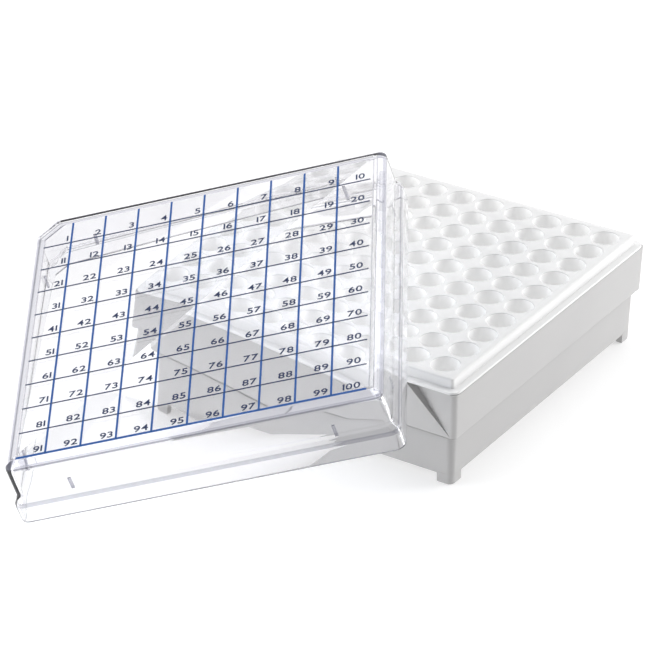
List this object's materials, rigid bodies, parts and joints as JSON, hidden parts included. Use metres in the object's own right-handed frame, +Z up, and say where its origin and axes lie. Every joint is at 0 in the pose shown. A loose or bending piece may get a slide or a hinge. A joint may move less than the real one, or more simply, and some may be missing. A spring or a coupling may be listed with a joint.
{
  "type": "cryogenic storage box",
  "caption": "Square plastic rack box for frozen sample tubes: footed tray and shell, white well plate, and a clear lid with a printed grid leaning on one corner.",
  "frame": {"origin": "centre of the base's outline, on the surface that its feet stand on", "axes": "+Z up; +Y from the side with the finger recess to the opposite side of the base; +X to the right of it; the lid leans on the base's -Y and -X sides"},
  "size_m": [0.1821, 0.2328, 0.0832],
  "materials": {
    "tray": "satin light grey moulding",
    "shell": "satin light grey moulding",
    "plate": "glossy white moulding",
    "clear_lid": "clear, faintly blue moulding",
    "ink": "thin dark blue print"
  },
  "bodies": {
    "base": {"base_tray": "tray", "base_shell": "shell", "well_plate": "plate"},
    "lid": {"lid_shell": "clear_lid", "lid_print": "ink"}
  },
  "joints": [
    {"name": "lid_lift", "type": "slide", "parent": "base", "child": "lid", "axis": [0, 0, 1], "range_m": [0, 0.08]}
  ]
}
